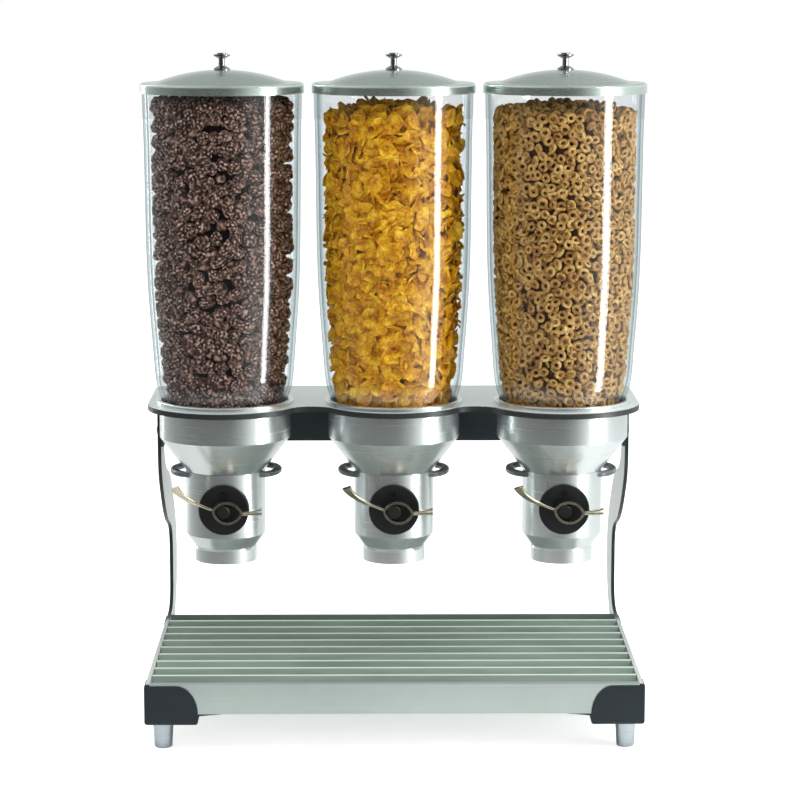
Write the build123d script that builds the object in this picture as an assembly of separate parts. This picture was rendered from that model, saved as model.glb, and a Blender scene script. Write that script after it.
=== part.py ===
from build123d import *
from math import cos, hypot, radians, sin, sqrt
import os

os.makedirs("parts", exist_ok=True)

# Counter-top dispenser stand with three clear hoppers. Millimetres, ground at Z 0, front towards -Y.

# Small clearances between pieces
seat_gap = 0.3
running_gap = 0.05
side_gap = 0.5

# Stand: tray, side panels, caps and feet
stand_width = 520.0
tray_depth = 322.0
panel_reach = 433.0
panel_thickness = 4.0
sheet = 1.5
rim_height = 32.0
lip_depth = 9.0
under_lip_depth = 20.0
foot_height = 28.0
foot_radius = 10.7
foot_tip_radius = 9.2
foot_stem_radius = 4.0
foot_stem_length = 10.0
foot_edge = 1.6
foot_from_side = 18.2
foot_from_front = 21.5
cap_height = 42.0
cap_width = 56.0
cap_depth = 50.0
cap_proud = 1.5
cap_curve_width = 23.0
cap_curve_height = 31.0
cap_corner = 4.0
cap_tongue_length = 27.0
cap_tongue_drop = 2.5

# Grille and crumb tray
slat_pitch = 31.5
first_slat = 38.5
slat_top_width = 6.0
slat_foot_width = 13.0
slat_height = 12.0
bearer_count = 3
bearer_thickness = 5.0
bearer_spacing = 190.0
tray_wall = 1.2
tray_wall_height = 15.0

# Side panel curve, as places behind the tray's front and above the ground
band_front_top = 208.0
band_rear_top = 250.0
band_top_straight_front = 285.0
band_top_straight_rear = 305.0
band_front_shoulder = (235.0, 234.0)
band_front_slope = (313.0, 184.0)
band_front_waist = (368.0, 137.0)
band_rear_slope = (330.0, 237.0)
band_rear_shoulder = (405.0, 183.0)
band_rear_waist_height = 125.0
heel_rise_start = 292.0
heel_turn = (395.0, 62.0)
flare_length = 72.0
flare_height = 30.0

# Support plate and rear skirt
plate_top = 350.0
plate_thickness = 6.0
plate_edge_round = 1.2
plate_end_radius = 82.3
plate_nose_radius = 76.5
plate_scallop_depth = 99.0
plate_scallop_blend = 26.0
plate_rear_corner = 14.0
skirt_height = 56.0
skirt_thickness = 3.0
screw_head_radius = 4.2
screw_head_height = 2.4
screw_shank_radius = 2.0
skirt_screw_drops = (14.0, 40.0)

# Dispensers: three alike, side by side
spacing = 181.0
dispenser_setback = 127.0
sides = {"left": -1, "middle": 0, "right": 1}

# Funnel
bead_radius = 73.4
bead_height = 5.0
bead_round = 2.2
cup_wall = 2.3
cup_drop = 36.0
funnel_drop = 72.0
neck_radius = 37.7
neck_wall = 4.7
neck_length = 7.5
cone_wall = 3.0

# Container
spigot_radius = 67.3
container_wall = 3.0
container_height = 367.5
container_mouth_radius = 84.7
container_seat_drop = 28.0
container_curve = [(40.0, 70.0), (74.0, 75.0), (138.0, 79.6), (256.0, 82.5)]

# Lid and knob
lid_radius = 86.4
lid_sheet = 1.2
lid_skirt = 10.5
lid_roll = 3.0
dome_radius = 71.0
dome_rise = 13.5
knob_radius = 9.0
knob_neck_radius = 3.4
knob_height = 18.0
knob_foot_height = 4.5
knob_head_height = 4.5
knob_button_radius = 5.0

# Valve
valve_radius = 42.5
valve_height = 68.7
valve_cone_height = 14.0
valve_exit_radius = 32.6
throat_radius = 24.0
throat_mouth_radius = 33.0
throat_cone_height = 11.0
bore_radius = 24.5
bore_front = 33.5
bore_rear = 28.0
valve_axis_drop = 36.7
socket_depth = 8.2
spout_radius = 33.4
spout_wall = 4.0
spout_height = 15.4
spout_neck_radius = 30.0
spout_neck_height = 4.0

# Valve cover, finger loops
cover_radius = 26.8
cover_proud = 3.5
cover_edge = 1.0
cover_screw_rise = 17.5
cover_screw_radius = 2.6
cover_screw_head = 1.2
cover_screw_length = 8.0
loop_centre = (36.0, 15.0)
loop_reach = 24.0
loop_half_length = 36.0
loop_band = 8.5
loop_thickness = 5.5
loop_drop = 0.5
loop_edge = 1.2

# Rotor: shaft, portion wheel, lever
shaft_radius = 4.0
shaft_in_bearing = 7.5
bearing_depth = 8.0
wheel_hub_radius = 9.0
wheel_radius = 23.8
vane_count = 6
vane_thickness = 2.0
hub_radius = 7.2
hub_flange_radius = 11.0
hub_flange_thickness = 2.0
hub_standoff = 4.0
lever_depth = 8.0
lever_thickness = 2.8
loop_left = (-12.0, 2.2)
loop_top = (3.0, 11.6)
loop_right = (21.0, -1.2)
loop_bottom = (2.5, -13.0)
blade_points = [(-11.0, 2.5), (-23.6, 6.9), (-34.3, 12.3), (-44.0, 19.6), (-50.0, 28.6)]
blade_forward = [0.0, 0.0, 1.5, 6.0, 12.5]
blade_twists = [6.0, 18.0, 32.0, 48.0, 66.0]
blade_widths = [7.6, 7.8, 7.8, 8.6, 10.6]
tail_upper = [(19.5, -0.5), (30.0, 0.6), (41.0, 3.0)]
tail_lower = [(19.5, -1.8), (30.0, -2.2), (41.0, -1.9)]
tail_thickness = 2.2

# Levels and places worked out from the sizes above
base_top = foot_height + cap_height + side_gap + sheet
base_bottom = base_top - rim_height
half_width = stand_width / 2
inner_half = half_width - panel_thickness
total_depth = panel_reach + cap_proud
front = cap_proud - total_depth / 2
axis_y = front + dispenser_setback
plate_bottom = plate_top - plate_thickness
bead_top = plate_top + bead_height
cup_inner = spigot_radius + seat_gap
cup_radius = cup_inner + cup_wall
cup_bottom = plate_top - cup_drop
funnel_bottom = plate_top - funnel_drop
container_bottom = plate_top - container_seat_drop
container_top = container_bottom + container_height
lid_under = container_top + seat_gap
lid_rim_top = lid_under + lid_sheet
dome_top = lid_rim_top + dome_rise
valve_top = funnel_bottom - seat_gap
valve_shoulder = valve_top - valve_height
valve_bottom = valve_shoulder - valve_cone_height
rotor_z = valve_top - valve_axis_drop
slat_count = int((tray_depth - first_slat - slat_foot_width) // slat_pitch) + 1
cover_front = -(valve_radius + cover_proud)
lever_back = cover_front - hub_standoff - hub_flange_thickness


def behind(distance):
    """Y of a place this far behind the front of the tray."""
    return front + distance


def dispenser_x(side):
    return sides[side] * spacing


def revolved(face):
    """Turn a face drawn as radius and height about the vertical axis."""
    return revolve(Plane.XZ * face, Axis.Z)


def turned(points):
    return revolved(make_face(Polyline(points, close=True)))


def rounded_at(face, places, radius):
    """Round the corners of a flat face that lie nearest to the given places."""
    corners = []
    for x, y in places:
        corners.append(min(face.vertices(), key=lambda v: hypot(v.X - x, v.Y - y)))
    return fillet(corners, radius)


def along_y(radius, start, end):
    """Cylinder on the Y axis between two distances."""
    return Pos(0, (start + end) / 2, 0) * Rot(90, 0, 0) * Cylinder(radius, abs(end - start))


def block(x0, x1, y0, y1, z0, z1):
    centre = Pos((x0 + x1) / 2, (y0 + y1) / 2, (z0 + z1) / 2)
    return centre * Box(x1 - x0, y1 - y0, z1 - z0)


def side_panel_outline():
    """Sheet outline in the YZ plane: tray side, heel, and the band that sweeps up to the plate."""
    front_edge = Line((band_front_top, plate_bottom), (band_front_top, band_top_straight_front))
    front_sweep = Spline(
        (band_front_top, band_top_straight_front),
        band_front_shoulder,
        band_front_slope,
        band_front_waist,
        tangents=[(0, -1), (0, -1)],
    )
    flare_start = band_front_waist[0]
    flare_top = base_top + flare_height
    waist = Line(band_front_waist, (flare_start, flare_top))
    flare = Spline(
        (flare_start, flare_top),
        (flare_start - flare_length, base_top),
        tangents=[(0, -1), (-1, 0)],
    )
    top = Line((flare_start - flare_length, base_top), (0, base_top))
    nose = Line((0, base_top), (0, base_bottom))
    sole = Line((0, base_bottom), (heel_rise_start, base_bottom))
    heel = Spline(
        (heel_rise_start, base_bottom),
        heel_turn,
        (panel_reach, band_rear_waist_height),
        tangents=[(1, 0), (0, 1)],
    )
    rear_sweep = Spline(
        (panel_reach, band_rear_waist_height),
        band_rear_shoulder,
        band_rear_slope,
        (band_rear_top, band_top_straight_rear),
        tangents=[(0, 1), (0, 1)],
    )
    rear_edge = Line((band_rear_top, band_top_straight_rear), (band_rear_top, plate_bottom))
    head = Line((band_rear_top, plate_bottom), (band_front_top, plate_bottom))
    edges = [front_edge, front_sweep, waist, flare, top, nose, sole, heel, rear_sweep, rear_edge, head]
    return make_face(edges)


def side_panel(sign):
    sheet_body = extrude(Plane.YZ * side_panel_outline(), panel_thickness)
    start = inner_half if sign > 0 else -half_width
    panel = Pos(start, front, 0) * sheet_body
    for drop in skirt_screw_drops:
        hole = Rot(0, 90, 0) * Cylinder(screw_shank_radius, 4 * panel_thickness)
        panel -= Pos(sign * half_width, skirt_screw_y(), plate_bottom - drop) * hole
    return panel


def front_fascia():
    wall = block(-inner_half, inner_half, front, behind(sheet), base_bottom, base_top)
    lip = block(-inner_half, inner_half, front, behind(lip_depth), base_top - sheet, base_top)
    under = block(-inner_half, inner_half, front, behind(under_lip_depth), base_bottom, base_bottom + sheet)
    return wall + lip + under


def rear_rail():
    back = behind(tray_depth)
    wall = block(-inner_half, inner_half, back - sheet, back, base_bottom, base_top)
    under = block(-inner_half, inner_half, back - under_lip_depth, back, base_bottom, base_bottom + sheet)
    return wall + under


def crumb_tray():
    low = base_bottom + sheet
    high = low + tray_wall_height
    half = inner_half - seat_gap
    y0 = behind(sheet + seat_gap)
    y1 = behind(tray_depth - sheet - seat_gap)
    outer = block(-half, half, y0, y1, low, high)
    w = tray_wall
    return outer - block(-half + w, half - w, y0 + w, y1 - w, low + w, high + w)


def grille_slats():
    """Bars with a narrow bright top and sloping flanks, laid across the bearers."""
    top = slat_top_width / 2
    foot = slat_foot_width / 2
    half = inner_half - side_gap
    section = make_face(Polyline((-foot, 0), (foot, 0), (top, slat_height), (-top, slat_height), close=True))
    bar = Pos(-half, 0, base_top - slat_height) * extrude(Plane.YZ * section, 2 * half)
    bars = []
    for index in range(slat_count):
        bars.append(Pos(0, behind(first_slat + index * slat_pitch), 0) * bar)
    return Compound(children=bars)


def grille_bearers():
    low = base_bottom + sheet + tray_wall + seat_gap
    high = base_top - slat_height
    y0 = behind(lip_depth + side_gap)
    y1 = behind(tray_depth - sheet - seat_gap - tray_wall - side_gap)
    bars = []
    for index in range(bearer_count):
        x = (index - (bearer_count - 1) / 2) * bearer_spacing
        bars.append(block(x - bearer_thickness / 2, x + bearer_thickness / 2, y0, y1, low, high))
    return Compound(children=bars)


def cap_face(length):
    """One face of a cap: a block with a large curved corner at its inner top."""
    outline = Polyline(
        (0, 0),
        (length, 0),
        (length, cap_height - cap_curve_height),
        (length, cap_height),
        (0, cap_height),
        close=True,
    )
    corner = Pos(length - cap_curve_width, cap_height - cap_curve_height)
    quarter = corner * Ellipse(cap_curve_width, cap_curve_height)
    square = corner * Rectangle(cap_curve_width, cap_curve_height, align=(Align.MIN, Align.MIN))
    face = make_face(outline) - (square - quarter)
    return rounded_at(face, [(length, 0), (0, 0)], cap_corner)


def corner_cap():
    """Front left cap with its corner at the origin, open inside for the panel and the fascia."""
    across = extrude(Plane.XZ * cap_face(cap_width), -cap_depth)
    along = extrude(Plane.YZ * cap_face(cap_depth), cap_width)
    cap = across & along
    level = base_bottom - foot_height
    wedge = Polyline(
        (cap_width - cap_corner, level),
        (cap_width + cap_tongue_length, level),
        (cap_width - cap_corner, level - cap_tongue_drop),
        close=True,
    )
    tongue = extrude(Plane.XZ * make_face(wedge), -under_lip_depth)
    return cap + Pos(0, cap_proud, 0) * tongue


def placed_cap(x_sign, rear):
    """A cap at its corner of the tray, cut away where the sheets pass through it."""
    cap = corner_cap()
    if x_sign > 0:
        cap = mirror(cap, Plane.YZ)
    if rear:
        cap = mirror(cap, Plane.XZ)
    y = behind(tray_depth + cap_proud) if rear else behind(-cap_proud)
    cap = Pos(x_sign * (half_width + cap_proud), y, foot_height) * cap
    foot_x, foot_y = foot_place(x_sign, rear)
    cap -= Pos(foot_x, foot_y, foot_height) * Cylinder(foot_stem_radius + running_gap, 2 * foot_stem_length + 1)
    cap -= block(-half_width, half_width, front, behind(tray_depth), base_bottom, base_top)
    return cap - side_panel(x_sign)


def foot_place(x_sign, rear):
    x = x_sign * (half_width + cap_proud - foot_from_side)
    y = behind(tray_depth - foot_from_front) if rear else behind(foot_from_front)
    return x, y


def foot(x_sign, rear):
    outline = make_face(
        Polyline(
            (0, 0),
            (foot_tip_radius, 0),
            (foot_radius, foot_height - foot_edge),
            (foot_radius, foot_height),
            (foot_stem_radius, foot_height),
            (foot_stem_radius, foot_height + foot_stem_length),
            (0, foot_height + foot_stem_length),
            close=True,
        )
    )
    outline = rounded_at(outline, [(foot_tip_radius, 0)], foot_edge)
    x, y = foot_place(x_sign, rear)
    return Pos(x, y, 0) * revolved(outline)


def support_plate():
    """Sheet with three round holes, round ends and a scalloped front edge."""
    rear = band_rear_top - dispenser_setback
    reach = spacing + plate_end_radius
    scallop = plate_scallop_depth - dispenser_setback
    face = Pos(0, (rear + scallop) / 2) * Rectangle(2 * spacing, rear - scallop)
    face += Pos(0, rear / 2) * Rectangle(2 * reach, rear)
    for side in sides:
        radius = plate_nose_radius if side == "middle" else plate_end_radius
        face += Pos(dispenser_x(side), 0) * Circle(radius)
    nooks = []
    for radius, centre, turn in scallop_corners():
        nooks.append((centre + turn * sqrt(radius**2 - scallop**2), scallop))
    face = rounded_at(face, nooks, plate_scallop_blend)
    face = rounded_at(face, [(-reach, rear), (reach, rear)], plate_rear_corner)
    for side in sides:
        face -= Pos(dispenser_x(side), 0) * Circle(cup_radius + seat_gap)
    plate = extrude(face, plate_thickness)
    top_rim = plate.faces().sort_by(Axis.Z)[-1].outer_wire().edges()
    return Pos(0, axis_y, plate_bottom) * fillet(top_rim, plate_edge_round)


def scallop_corners():
    """Radius, centre and direction of each inner corner between a round front and a scallop."""
    return [
        (plate_end_radius, -spacing, 1),
        (plate_nose_radius, 0, -1),
        (plate_nose_radius, 0, 1),
        (plate_end_radius, spacing, -1),
    ]


def rear_skirt():
    low = plate_bottom - skirt_height
    back = behind(band_rear_top)
    start = behind(band_front_top)
    outer = block(-inner_half, inner_half, start, back, low, plate_bottom)
    t = skirt_thickness
    skirt = outer - block(-inner_half + t, inner_half - t, start - 1, back - t, low - 1, plate_bottom + 1)
    for sign in (-1, 1):
        for drop in skirt_screw_drops:
            hole = Rot(0, 90, 0) * Cylinder(screw_shank_radius, 4 * t)
            skirt -= Pos(sign * inner_half, skirt_screw_y(), plate_bottom - drop) * hole
    return skirt


def skirt_screw_y():
    return behind((band_front_top + band_rear_top) / 2)


def skirt_screws(sign):
    """Round-headed screws through the side panel into the skirt."""
    shank_length = panel_thickness + skirt_thickness
    head = Pos(0, 0, screw_head_height / 2) * Cylinder(screw_head_radius, screw_head_height)
    head = fillet(head.edges().sort_by(Axis.Z)[-1], screw_head_height / 2)
    screw = head + Pos(0, 0, -shank_length / 2) * Cylinder(screw_shank_radius, shank_length)
    screws = []
    for drop in skirt_screw_drops:
        place = Pos(sign * half_width, skirt_screw_y(), plate_bottom - drop)
        screws.append(place * Rot(0, sign * 90, 0) * screw)
    return Compound(children=screws)


def funnel():
    """Cup that hangs in the plate by its bead, cone, and the neck that enters the valve."""
    neck_inner = neck_radius - neck_wall
    outline = make_face(
        Polyline(
            (cup_inner, bead_top),
            (bead_radius, bead_top),
            (bead_radius, plate_top),
            (cup_radius, plate_top),
            (cup_radius, cup_bottom),
            (valve_radius, funnel_bottom),
            (neck_radius, funnel_bottom),
            (neck_radius, funnel_bottom - neck_length),
            (neck_inner, funnel_bottom - neck_length),
            (neck_inner, funnel_bottom + cone_wall / 2),
            (cup_radius - cup_wall - cone_wall, cup_bottom + cone_wall / 2),
            (cup_radius - cup_wall - cone_wall, container_bottom - seat_gap),
            (cup_inner, container_bottom - seat_gap),
            close=True,
        )
    )
    outline = rounded_at(outline, [(cup_inner, bead_top), (bead_radius, bead_top)], bead_round)
    return revolved(outline)


def container_side(inset):
    """Points of the container's wall, from its flared start to its mouth."""
    points = [(spigot_radius - inset, bead_top + seat_gap)]
    for height, radius in container_curve:
        points.append((radius - inset, container_bottom + height))
    points.append((container_mouth_radius - inset, container_top))
    return points


def container():
    outer = container_side(0)
    inner = container_side(container_wall)
    outer_foot = (spigot_radius, container_bottom)
    inner_foot = (spigot_radius - container_wall, container_bottom)
    edges = [
        Line(outer_foot, outer[0]),
        Spline(outer),
        Line(outer[-1], inner[-1]),
        Spline(inner),
        Line(inner[0], inner_foot),
        Line(inner_foot, outer_foot),
    ]
    return revolved(make_face(edges))


def dome_height(radius):
    """Height of the lid's dome over its rim, as a slice of a sphere."""
    ball = (dome_radius**2 + dome_rise**2) / (2 * dome_rise)
    return dome_rise - (ball - sqrt(ball**2 - radius**2))


def lid():
    seat = knob_radius + side_gap
    middle = (dome_radius + seat) / 2
    upper = []
    for radius in (dome_radius, middle, seat):
        upper.append((radius, lid_rim_top + dome_height(radius)))
    lower = []
    for radius, height in upper:
        lower.append((radius, height - lid_sheet))
    skirt_inner = container_mouth_radius + side_gap
    skirt_bottom = lid_rim_top - lid_skirt
    outer = Polyline(
        lower[0],
        (skirt_inner, lid_under),
        (skirt_inner, skirt_bottom),
        (lid_radius, skirt_bottom),
        (lid_radius, lid_rim_top),
        upper[0],
    )
    crown = Polyline(upper[2], (0, upper[2][1]), (0, lower[2][1]), lower[2])
    face = make_face([outer, ThreePointArc(*upper), crown, ThreePointArc(*lower)])
    face = rounded_at(face, [(lid_radius, lid_rim_top)], lid_roll)
    return revolved(face)


def lid_knob():
    """Spool-shaped knob: a coned foot, a slim neck, and a coned head with a small button."""
    foot_z = lid_rim_top + dome_height(knob_radius + side_gap)
    top = foot_z + knob_height
    head = top - knob_head_height
    rim = 1.4
    button = 1.2
    outline = make_face(
        Polyline(
            (0, foot_z),
            (knob_radius, foot_z),
            (knob_radius, foot_z + rim),
            (knob_neck_radius, foot_z + knob_foot_height),
            (knob_neck_radius, head - rim),
            (knob_radius, head + rim),
            (knob_radius, head + 2 * rim),
            (knob_button_radius, top - button),
            (knob_button_radius, top),
            (0, top),
            close=True,
        )
    )
    return revolved(rounded_at(outline, [(knob_button_radius, top)], button / 2))


def valve_body():
    """Short cylinder and cone with a vertical way for the food and a cross bore for the wheel."""
    z = valve_top - rotor_z
    shoulder = valve_shoulder - rotor_z
    bottom = valve_bottom - rotor_z
    body = turned(
        [(0, z), (valve_radius, z), (valve_radius, shoulder), (valve_exit_radius, bottom), (0, bottom)]
    )
    floor = z - socket_depth
    body -= Pos(0, 0, z - socket_depth / 2) * Cylinder(neck_radius + seat_gap, socket_depth)
    throat = Cone(throat_radius, throat_mouth_radius, throat_cone_height)
    body -= Pos(0, 0, floor - throat_cone_height / 2) * throat
    way = floor - bottom + 1
    body -= Pos(0, 0, floor - way / 2) * Cylinder(throat_radius, way)
    recess_top = bottom + spout_neck_height + side_gap
    body -= Pos(0, 0, recess_top - 10) * Cylinder(spout_neck_radius + running_gap, 20)
    body -= along_y(bore_radius, -bore_front, bore_rear)
    body -= along_y(cover_radius + running_gap, -valve_radius - 1, -bore_front)
    body -= along_y(shaft_radius + running_gap, bore_rear, bore_rear + bearing_depth)
    return Pos(0, 0, rotor_z) * body


def spout():
    """Outlet ring, pressed into the bottom of the valve by its neck."""
    top = valve_bottom
    low = top - spout_height
    inner = spout_radius - spout_wall
    bore = min(inner, spout_neck_radius - spout_wall)
    return turned(
        [
            (bore, top + spout_neck_height),
            (spout_neck_radius, top + spout_neck_height),
            (spout_neck_radius, top),
            (valve_exit_radius, top),
            (spout_radius, top - spout_wall / 2),
            (spout_radius, low),
            (inner, low),
            (bore, top),
        ]
    )


def finger_loops():
    """Two flat loops on the flanks of the valve, for the fingers that twist it."""
    top = valve_top - loop_drop
    outer = Ellipse(loop_reach, loop_half_length)
    inner = Ellipse(loop_reach - loop_band, loop_half_length - loop_band)
    band = extrude(Pos(*loop_centre) * (outer - inner), loop_thickness)
    rims = band.faces().filter_by(Axis.Z).edges()
    band = chamfer(rims, loop_edge)
    band -= Cylinder(valve_radius, 4 * loop_thickness)
    loop = band.solids().sort_by(Axis.X)[-1]
    pair = [loop, mirror(loop, Plane.YZ)]
    return Pos(0, 0, top - loop_thickness) * Compound(children=pair)


def valve_cover():
    """Round plug that closes the cross bore and carries the front of the shaft."""
    cover = along_y(cover_radius, cover_front, -bore_front)
    cover = chamfer(cover.edges().group_by(Axis.Y)[0], cover_edge)
    cover -= along_y(shaft_radius + running_gap, cover_front - 1, -bore_front + 1)
    screw_hole = along_y(cover_screw_radius, cover_front - 1, cover_front + cover_screw_length)
    return Pos(0, 0, rotor_z) * (cover - Pos(0, 0, cover_screw_rise) * screw_hole)


def cover_screw():
    start = cover_front - cover_screw_head
    shank = along_y(cover_screw_radius, start, cover_front + cover_screw_length)
    slot = block(-cover_screw_radius, cover_screw_radius, start - 1, start + cover_screw_head / 2, -0.4, 0.4)
    return Pos(0, 0, rotor_z + cover_screw_rise) * (shank - slot)


def rotor_shaft():
    hub_front = lever_back - lever_depth
    return Pos(0, 0, rotor_z) * along_y(shaft_radius, hub_front + hub_standoff, bore_rear + shaft_in_bearing)


def portion_wheel():
    start = -bore_front + side_gap
    end = bore_rear - side_gap
    wheel = along_y(wheel_hub_radius, start, end)
    for index in range(vane_count):
        vane = block(-vane_thickness / 2, vane_thickness / 2, start, end, wheel_hub_radius / 2, wheel_radius)
        wheel += Rot(0, index * 360 / vane_count, 0) * vane
    return Pos(0, 0, rotor_z) * (wheel - along_y(shaft_radius, start - 1, end + 1))


def lever_hub():
    """Hub on the shaft's front end, with the flange that the lever's loop is fixed to."""
    flange_front = cover_front - hub_standoff - hub_flange_thickness
    hub = along_y(hub_radius, lever_back - lever_depth, cover_front - seat_gap)
    hub += along_y(hub_flange_radius, flange_front, flange_front + hub_flange_thickness)
    hub = chamfer(hub.edges().group_by(Axis.Y)[0], 1.0)
    shaft_front = lever_back - lever_depth + hub_standoff
    return Pos(0, 0, rotor_z) * (hub - along_y(shaft_radius, shaft_front, cover_front + 1))


def strip(points, forwards, twists, widths, thickness):
    """Flat bar through places seen from the front, turned about its own length as it goes."""
    middle = lever_back - lever_depth / 2
    sections = []
    last = len(points) - 1
    for index, (x, z) in enumerate(points):
        before = points[max(index - 1, 0)]
        after = points[min(index + 1, last)]
        depth_before = forwards[max(index - 1, 0)]
        depth_after = forwards[min(index + 1, last)]
        run = Vector(after[0] - before[0], depth_before - depth_after, after[1] - before[1]).normalized()
        across = run.cross(Vector(0, 1, 0)).normalized()
        flat = across.cross(run).normalized()
        twist = radians(twists[index])
        width_way = flat * cos(twist) + across * sin(twist)
        plane = Plane(origin=(x, middle - forwards[index], z), x_dir=width_way, z_dir=run)
        sections.append(plane * RectangleRounded(widths[index], thickness, thickness * 0.4))
    return loft(sections)


def lever():
    """Twisted handle: a curved blade, an almond loop round the hub and a split tail."""
    outline = make_face(
        [ThreePointArc(loop_left, loop_top, loop_right), ThreePointArc(loop_right, loop_bottom, loop_left)]
    )
    ring_face = outline - offset(outline, -lever_thickness)
    ring = Pos(0, lever_back, 0) * extrude(Plane.XZ * ring_face, lever_depth)
    blade = strip(blade_points, blade_forward, blade_twists, blade_widths, lever_thickness)
    level = [0.0] * len(tail_upper)
    tail_widths = [lever_depth, 6.5, 5.5]
    upper = strip(tail_upper, level, level, tail_widths, tail_thickness)
    lower = strip(tail_lower, level, level, tail_widths, tail_thickness)
    return Pos(0, 0, rotor_z) * (ring + blade + upper + lower)


def write(name, shape):
    export_step(shape, f"parts/{name}.step")


def write_stand():
    for name, sign in (("left", -1), ("right", 1)):
        write(f"side_panel_{name}", side_panel(sign))
        write(f"skirt_screws_{name}", skirt_screws(sign))
        for place, rear in (("front", False), ("rear", True)):
            write(f"corner_cap_{place}_{name}", placed_cap(sign, rear))
            write(f"foot_{place}_{name}", foot(sign, rear))
    write("front_fascia", front_fascia())
    write("rear_rail", rear_rail())
    write("crumb_tray", crumb_tray())
    write("grille_slats", grille_slats())
    write("grille_bearers", grille_bearers())
    write("support_plate", support_plate())
    write("rear_skirt", rear_skirt())


def write_dispensers():
    pieces = {
        "lid": lid(),
        "lid_knob": lid_knob(),
        "container": container(),
        "funnel": funnel(),
        "valve_body": valve_body(),
        "spout": spout(),
        "finger_loops": finger_loops(),
        "valve_cover": valve_cover(),
        "cover_screw": cover_screw(),
        "rotor_shaft": rotor_shaft(),
        "portion_wheel": portion_wheel(),
        "lever_hub": lever_hub(),
        "lever": lever(),
    }
    for side in sides:
        for name, shape in pieces.items():
            write(f"{side}_{name}", Pos(dispenser_x(side), axis_y, 0) * shape)


write_stand()
write_dispensers()
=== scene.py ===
import math
import random

import bmesh
import bpy
from mathutils import Matrix, Vector, noise


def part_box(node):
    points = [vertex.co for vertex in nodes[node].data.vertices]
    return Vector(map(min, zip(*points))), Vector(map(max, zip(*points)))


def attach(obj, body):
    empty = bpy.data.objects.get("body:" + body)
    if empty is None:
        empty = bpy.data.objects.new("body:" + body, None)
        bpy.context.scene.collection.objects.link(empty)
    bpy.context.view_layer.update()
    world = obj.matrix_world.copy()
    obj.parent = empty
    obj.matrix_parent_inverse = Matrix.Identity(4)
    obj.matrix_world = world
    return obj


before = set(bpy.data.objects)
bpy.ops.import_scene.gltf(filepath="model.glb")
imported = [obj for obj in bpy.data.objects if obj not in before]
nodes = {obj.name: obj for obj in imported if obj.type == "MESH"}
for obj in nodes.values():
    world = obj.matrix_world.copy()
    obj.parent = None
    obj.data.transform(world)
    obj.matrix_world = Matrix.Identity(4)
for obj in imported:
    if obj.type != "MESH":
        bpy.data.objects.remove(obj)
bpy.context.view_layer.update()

SIDES = ("left", "middle", "right")

# Camera, from the photograph's fitted perspective
CAMERA_PLACE = (-0.0209, -3.0897, 0.8145)
CAMERA_PITCH = 0.1528
CAMERA_YAW = 0.0092
CAMERA_LENS = 127.4

# Brightness of the room round the object: degrees to the right of the camera's side, and level
ROOM = ((-180, 1.0), (-148, 1.0), (-122, 0.6), (-95, 0.32), (-60, 0.13), (-20, 0.05), (8, 0.06), (25, 0.25),
        (45, 0.85), (65, 1.0), (180, 1.0))
ROOM_ABOVE = ((-180, 0.4), (-150, 0.5), (-120, 0.95), (-60, 0.6), (0, 0.3), (60, 0.7), (120, 1.1),
              (150, 0.65), (180, 0.4))

# Cereal sizes, in metres
TOP_CLEARANCE = 0.0045
BOTTOM_CLEARANCE = 0.0022
CLUSTER_RADIUS = 0.0078
FLAKE_RADIUS = 0.0112
NUB_COUNT = 34
NUB_ANGLE = 0.46
RING_RADIUS = 0.0041
RING_TUBE = 0.0020


def axis_place(side):
    """Middle of a dispenser, seen from above, from its container's box."""
    low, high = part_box(f"{side}_container")
    return (low[0] + high[0]) / 2, (low[1] + high[1]) / 2


def mat_new(name):
    """A node material with its shader and output, ready for more nodes."""
    mat = bpy.data.materials.new(name)
    mat.use_nodes = True
    tree = mat.node_tree
    shader = next(n for n in tree.nodes if n.type == "BSDF_PRINCIPLED")
    return mat, tree, shader


def room_view(tree, vector, stops):
    """Brightness of the room by the way looked, round the upright axis, and the parts of that way."""
    parts = tree.nodes.new("ShaderNodeSeparateXYZ")
    tree.links.new(vector, parts.inputs[0])
    toward = tree.nodes.new("ShaderNodeMath")
    toward.operation = "MULTIPLY"
    toward.inputs[1].default_value = -1.0
    tree.links.new(parts.outputs["Y"], toward.inputs[0])
    turn = tree.nodes.new("ShaderNodeMath")
    turn.operation = "ARCTAN2"
    tree.links.new(parts.outputs["X"], turn.inputs[0])
    tree.links.new(toward.outputs[0], turn.inputs[1])
    colours = []
    for angle, level in stops:
        colours.append(((angle + 180.0) / 360.0, (level * 0.97, level, level * 0.99)))
    return ramp(tree, spread(tree, turn.outputs[0], 0.0, 1.0, -math.pi, math.pi), colours), parts


def add(tree, kind, **inputs):
    """A new node with some of its sockets set by name."""
    node = tree.nodes.new(kind)
    for name, value in inputs.items():
        node.inputs[name.replace("_", " ")].default_value = value
    return node


def place_coords(tree, scale):
    """Object coordinates, stretched by a scale for each axis."""
    coords = tree.nodes.new("ShaderNodeTexCoord")
    mapping = tree.nodes.new("ShaderNodeMapping")
    mapping.inputs["Scale"].default_value = scale
    tree.links.new(coords.outputs["Object"], mapping.inputs["Vector"])
    return mapping.outputs["Vector"]


def grain(tree, vector, scale, detail=4.0, roughness=0.6):
    """Noise from a vector."""
    tex = add(tree, "ShaderNodeTexNoise", Scale=scale, Detail=detail, Roughness=roughness)
    tree.links.new(vector, tex.inputs["Vector"])
    return tex.outputs["Fac"]


def ramp(tree, value, stops):
    """Colour ramp with (position, colour) stops."""
    node = tree.nodes.new("ShaderNodeValToRGB")
    elements = node.color_ramp.elements
    while len(elements) < len(stops):
        elements.new(0.5)
    for element, (position, colour) in zip(elements, stops):
        element.position = position
        element.color = (*colour, 1.0)
    tree.links.new(value, node.inputs["Fac"])
    return node.outputs["Color"]


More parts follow.
